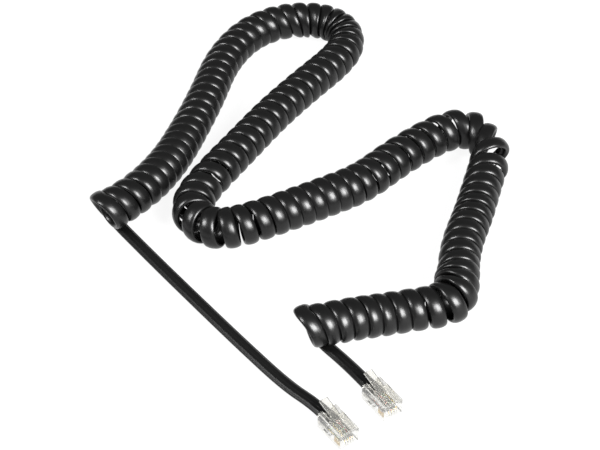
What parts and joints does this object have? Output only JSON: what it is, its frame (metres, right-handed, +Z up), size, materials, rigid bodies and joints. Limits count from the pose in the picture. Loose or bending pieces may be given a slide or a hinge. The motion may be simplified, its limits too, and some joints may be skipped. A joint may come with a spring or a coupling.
{
  "type": "coiled modular lead",
  "caption": "Curly flat cord lying in loose bends, with a straight tail and a clear latching modular plug at each end; it joins a hand controller to its mount.",
  "frame": {"origin": "on the table under the middle of the whole lead's box", "axes": "+Z up from the table, with the plugs' latches upward; +Y along the box's longest side, from the plugs to the coil's far bend; +X to the right seen from above with the plugs towards the viewer"},
  "size_m": [0.1625, 0.2423, 0.0182],
  "materials": {
    "jacket": "semi-gloss flexible PVC",
    "clear_plastic": "clear moulded polycarbonate",
    "contact_gold": "gold-plated phosphor bronze",
    "tinsel": "copper tinsel",
    "wire_black": "satin insulation",
    "wire_red": "satin insulation",
    "wire_green": "satin insulation",
    "wire_yellow": "satin insulation"
  },
  "bodies": {
    "lead": {"plug_a_housing": "clear_plastic", "plug_a_contact_1": "contact_gold", "plug_a_wire_yellow": "wire_yellow", "plug_a_core_yellow": "tinsel", "plug_a_contact_2": "contact_gold", "plug_a_wire_green": "wire_green", "plug_a_core_green": "tinsel", "plug_a_contact_3": "contact_gold", "plug_a_wire_red": "wire_red", "plug_a_core_red": "tinsel", "plug_a_contact_4": "contact_gold", "plug_a_wire_black": "wire_black", "plug_a_core_black": "tinsel", "plug_b_housing": "clear_plastic", "plug_b_contact_1": "contact_gold", "plug_b_wire_black": "wire_black", "plug_b_core_black": "tinsel", "plug_b_contact_2": "contact_gold", "plug_b_wire_red": "wire_red", "plug_b_core_red": "tinsel", "plug_b_contact_3": "contact_gold", "plug_b_wire_green": "wire_green", "plug_b_core_green": "tinsel", "plug_b_contact_4": "contact_gold", "plug_b_wire_yellow": "wire_yellow", "plug_b_core_yellow": "tinsel", "tail_a_jacket": "jacket", "tail_b_jacket": "jacket", "coil_jacket": "jacket"},
    "latch_a": {"plug_a_latch": "clear_plastic"},
    "latch_b": {"plug_b_latch": "clear_plastic"}
  },
  "joints": [
    {"name": "latch_a_press", "type": "hinge", "parent": "lead", "child": "latch_a", "pos_m": [0.01599, -0.11801, 0.006], "axis": [0.8059, 0.592, 0], "range_deg": [-11, 0], "stiffness_Nm_per_rad": 0.3},
    {"name": "latch_b_press", "type": "hinge", "parent": "lead", "child": "latch_b", "pos_m": [0.0309, -0.10575, 0.006], "axis": [0.8181, 0.575, 0], "range_deg": [-11, 0], "stiffness_Nm_per_rad": 0.3}
  ]
}
